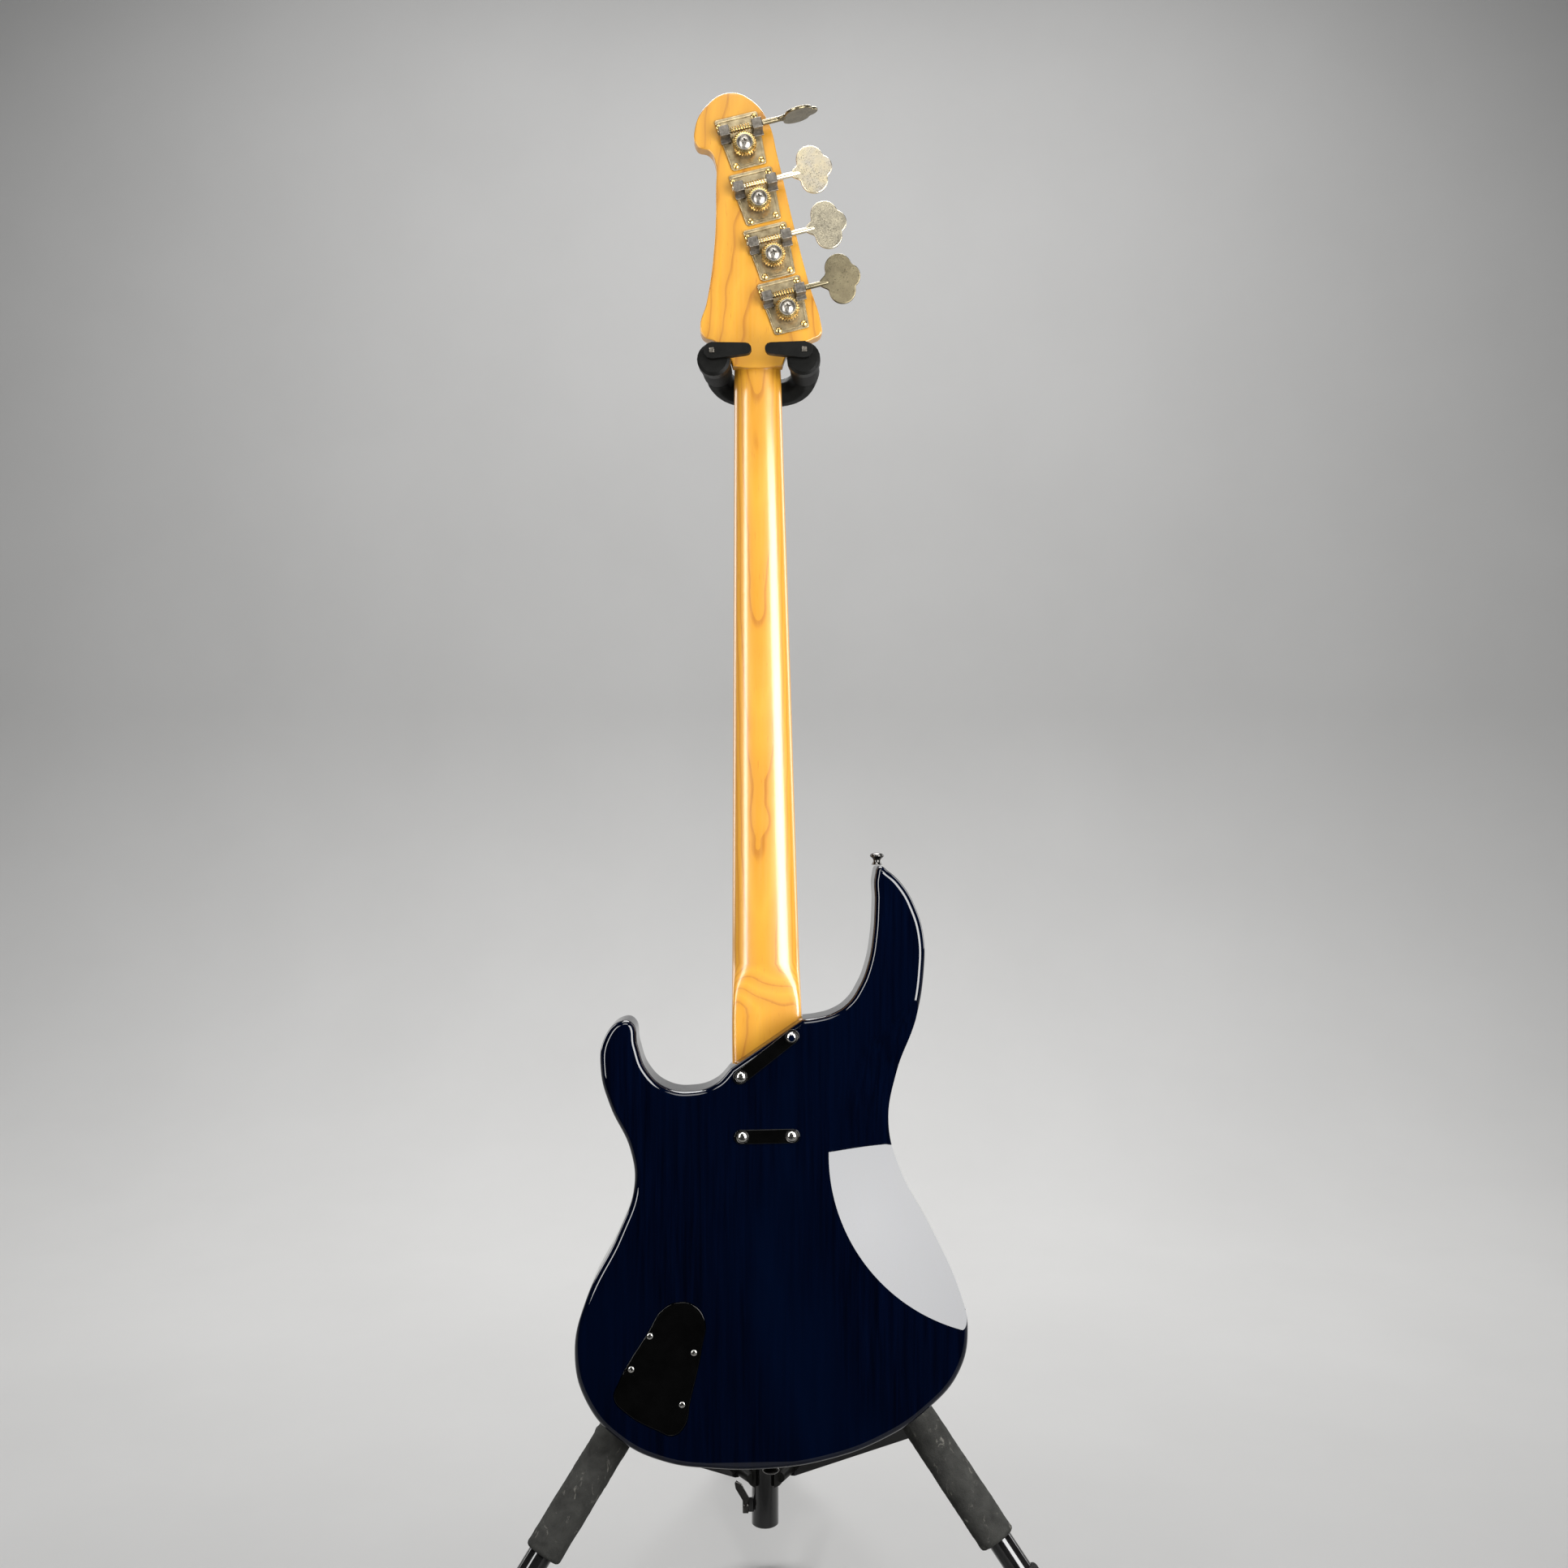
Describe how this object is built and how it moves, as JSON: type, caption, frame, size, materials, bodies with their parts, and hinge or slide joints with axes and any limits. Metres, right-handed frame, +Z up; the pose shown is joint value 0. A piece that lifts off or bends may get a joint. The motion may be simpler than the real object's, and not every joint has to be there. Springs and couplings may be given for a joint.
{
  "type": "electric bass on a tripod stand",
  "caption": "Electric bass seen from behind, hung by its headstock from the self-closing yoke of a folding tripod stand with foam-covered legs.",
  "frame": {"origin": "on the floor, in the middle of the box round the three feet", "axes": "+Z up the pole, -Y the way the back of the bass faces, +X towards the tuner keys"},
  "size_m": [0.517, 0.4681, 1.3563],
  "materials": {
    "black_steel": "gloss black lacquer",
    "black_plastic": "moulded",
    "black_rubber": "slight sheen",
    "grey_foam": "scuffed foam",
    "blue_lacquer": "deep blue gloss lacquer",
    "maple": "amber satin-gloss lacquer",
    "rosewood": "oiled",
    "bone": "polished",
    "black_gloss": "gloss",
    "chrome": "bright",
    "dark_nickel": "dark",
    "aged_nickel": "aged, patinated",
    "brass": "aged",
    "steel": "wound and plain wire, small lever"
  },
  "bodies": {
    "stand_base": {"lower_tube": "black_steel", "brace_collar": "black_plastic", "height_clutch": "black_plastic"},
    "hub": {"leg_hub": "black_plastic"},
    "leg_front_left": {"leg_front_left": "black_steel", "foot_front_left": "black_rubber", "leg_foam_left": "grey_foam"},
    "leg_front_right": {"leg_front_right": "black_steel", "foot_front_right": "black_rubber", "leg_foam_right": "grey_foam"},
    "leg_rear": {"leg_rear": "black_steel", "foot_rear": "black_rubber"},
    "brace_front_left": {"brace_front_left": "black_steel"},
    "brace_front_right": {"brace_front_right": "black_steel"},
    "brace_rear": {"brace_rear": "black_steel"},
    "small_lever": {"collar_lever": "steel"},
    "clutch_trigger": {"clutch_lever": "black_plastic"},
    "mast": {"upper_tube": "black_steel", "yoke_head": "black_plastic"},
    "yoke": {"yoke_frame": "black_rubber", "arm_sleeve_left": "black_rubber", "arm_sleeve_right": "black_rubber"},
    "latch_left": {"latch_left": "black_plastic"},
    "latch_right": {"latch_right": "black_plastic"},
    "bass": {"body": "blue_lacquer", "neck": "maple", "fingerboard": "rosewood", "nut": "bone", "neck_plate_upper": "black_gloss", "neck_plate_lower": "black_gloss", "neck_bolt_1": "chrome", "neck_bolt_2": "chrome", "neck_bolt_3": "chrome", "neck_bolt_4": "chrome", "control_cover": "black_gloss", "strap_button_upper": "dark_nickel", "strap_button_lower": "dark_nickel", "pickup_neck": "black_plastic", "pickup_bridge": "black_plastic", "bridge_plate": "chrome", "string_e": "steel", "string_a": "steel", "string_d": "steel", "string_g": "steel", "output_jack": "chrome", "tuner_plate_1": "aged_nickel", "tuner_plate_2": "aged_nickel", "tuner_plate_3": "aged_nickel", "tuner_plate_4": "aged_nickel"},
    "key_1": {"tuner_key_1": "aged_nickel"},
    "gear_1": {"tuner_gear_1": "brass"},
    "key_2": {"tuner_key_2": "aged_nickel"},
    "gear_2": {"tuner_gear_2": "brass"},
    "key_3": {"tuner_key_3": "aged_nickel"},
    "gear_3": {"tuner_gear_3": "brass"},
    "key_4": {"tuner_key_4": "aged_nickel"},
    "gear_4": {"tuner_gear_4": "brass"},
    "knob_1_body": {"knob_1": "dark_nickel"},
    "knob_2_body": {"knob_2": "dark_nickel"},
    "knob_3_body": {"knob_3": "dark_nickel"}
  },
  "joints": [
    {"name": "hub_slide", "type": "slide", "parent": "stand_base", "child": "hub", "axis": [0, 0, 1], "range_m": [0, 0.13]},
    {"name": "leg_front_left_fold", "type": "hinge", "parent": "hub", "child": "leg_front_left", "pos_m": [-0.04458, -0.08598, 0.30891], "axis": [0.5557, -0.8314, 0], "range_deg": [0, 39]},
    {"name": "leg_front_right_fold", "type": "hinge", "parent": "hub", "child": "leg_front_right", "pos_m": [0.02887, -0.08116, 0.30891], "axis": [0.4421, 0.8969, 0], "range_deg": [0, 39]},
    {"name": "leg_rear_fold", "type": "hinge", "parent": "hub", "child": "leg_rear", "pos_m": [-0.01204, -0.01996, 0.30891], "axis": [-0.9978, -0.0656, 0], "range_deg": [0, 39]},
    {"name": "brace_front_left_fold", "type": "hinge", "parent": "stand_base", "child": "brace_front_left", "pos_m": [-0.02571, -0.07337, 0.0893], "axis": [-0.5557, 0.8314, 0], "range_deg": [0, 55.8]},
    {"name": "brace_front_right_fold", "type": "hinge", "parent": "stand_base", "child": "brace_front_right", "pos_m": [0.00851, -0.07112, 0.0893], "axis": [-0.4421, -0.8969, 0], "range_deg": [0, 55.8]},
    {"name": "brace_rear_fold", "type": "hinge", "parent": "stand_base", "child": "brace_rear", "pos_m": [-0.01055, -0.04261, 0.0893], "axis": [0.9978, 0.0656, 0], "range_deg": [0, 55.8]},
    {"name": "mast_slide", "type": "slide", "parent": "stand_base", "child": "mast", "axis": [0, 0, 1], "range_m": [0, 0.2]},
    {"name": "collar_lever_swing", "type": "hinge", "parent": "stand_base", "child": "small_lever", "pos_m": [-0.02735, -0.07036, 0.0614], "axis": [0, -1, 0], "range_deg": [0, 12]},
    {"name": "clutch_squeeze", "type": "hinge", "parent": "stand_base", "child": "clutch_trigger", "pos_m": [-0.00925, -0.03686, 0.654], "axis": [-1, 0, 0], "range_deg": [0, 12], "stiffness_Nm_per_rad": 0.6},
    {"name": "bass_lift", "type": "slide", "parent": "mast", "child": "bass", "axis": [0, 0, 1], "range_m": [0, 0.05]},
    {"name": "yoke_rise", "type": "slide", "parent": "mast", "child": "yoke", "axis": [0, 0, 1], "range_m": [0, 0.012]},
    {"name": "latch_left_open", "type": "hinge", "parent": "yoke", "child": "latch_left", "pos_m": [-0.05309, -0.17571, 1.1113], "axis": [-0.0398, -0.9992, 0], "range_deg": [0, 86]},
    {"name": "latch_right_open", "type": "hinge", "parent": "yoke", "child": "latch_right", "pos_m": [0.02544, -0.17884, 1.1113], "axis": [0.0398, 0.9992, 0], "range_deg": [0, 86]},
    {"name": "key_1_turn", "type": "hinge", "parent": "bass", "child": "key_1", "pos_m": [-0.02984, -0.15605, 1.32035], "axis": [0.9686, 0.0315, 0.2465], "continuous": true},
    {"name": "post_1_turn", "type": "hinge", "parent": "bass", "child": "gear_1", "pos_m": [-0.02635, -0.15632, 1.30669], "axis": [-0.0258, 0.9993, -0.0262], "continuous": true},
    {"name": "key_2_turn", "type": "hinge", "parent": "bass", "child": "key_2", "pos_m": [-0.01694, -0.15701, 1.27093], "axis": [0.9686, 0.0315, 0.2465], "continuous": true},
    {"name": "post_2_turn", "type": "hinge", "parent": "bass", "child": "gear_2", "pos_m": [-0.01345, -0.15728, 1.25727], "axis": [-0.0258, 0.9993, -0.0262], "continuous": true},
    {"name": "key_3_turn", "type": "hinge", "parent": "bass", "child": "key_3", "pos_m": [-0.00414, -0.15797, 1.22162], "axis": [0.9686, 0.0315, 0.2465], "continuous": true},
    {"name": "post_3_turn", "type": "hinge", "parent": "bass", "child": "gear_3", "pos_m": [-0.00065, -0.15824, 1.20796], "axis": [-0.0258, 0.9993, -0.0262], "continuous": true},
    {"name": "key_4_turn", "type": "hinge", "parent": "bass", "child": "key_4", "pos_m": [0.00814, -0.15891, 1.1736], "axis": [0.9686, 0.0315, 0.2465], "continuous": true},
    {"name": "post_4_turn", "type": "hinge", "parent": "bass", "child": "gear_4", "pos_m": [0.01162, -0.15918, 1.15994], "axis": [-0.0258, 0.9993, -0.0262], "continuous": true},
    {"name": "knob_1_turn", "type": "hinge", "parent": "bass", "child": "knob_1_body", "pos_m": [-0.08137, -0.15682, 0.27977], "axis": [-0.0258, 0.9993, -0.0262], "range_deg": [-150, 150]},
    {"name": "knob_2_turn", "type": "hinge", "parent": "bass", "child": "knob_2_body", "pos_m": [-0.09908, -0.15781, 0.25954], "axis": [-0.0258, 0.9993, -0.0262], "range_deg": [-150, 150]},
    {"name": "knob_3_turn", "type": "hinge", "parent": "bass", "child": "knob_3_body", "pos_m": [-0.11576, -0.15882, 0.23732], "axis": [-0.0258, 0.9993, -0.0262], "range_deg": [-150, 150]}
  ],
  "couplings": [
    {"joint": "leg_front_left_fold", "follows": "hub_slide", "rad_per_m": 5.2124},
    {"joint": "leg_front_right_fold", "follows": "hub_slide", "rad_per_m": 5.2124},
    {"joint": "leg_rear_fold", "follows": "hub_slide", "rad_per_m": 5.2124},
    {"joint": "brace_front_left_fold", "follows": "hub_slide", "rad_per_m": 7.4443},
    {"joint": "brace_front_right_fold", "follows": "hub_slide", "rad_per_m": 7.4443},
    {"joint": "brace_rear_fold", "follows": "hub_slide", "rad_per_m": 7.4443},
    {"joint": "yoke_rise", "follows": "bass_lift", "ratio": 0.24},
    {"joint": "latch_left_open", "follows": "bass_lift", "rad_per_m": 30},
    {"joint": "latch_right_open", "follows": "bass_lift", "rad_per_m": 30},
    {"joint": "post_1_turn", "follows": "key_1_turn", "ratio": 0.05},
    {"joint": "post_2_turn", "follows": "key_2_turn", "ratio": 0.05},
    {"joint": "post_3_turn", "follows": "key_3_turn", "ratio": 0.05},
    {"joint": "post_4_turn", "follows": "key_4_turn", "ratio": 0.05}
  ]
}
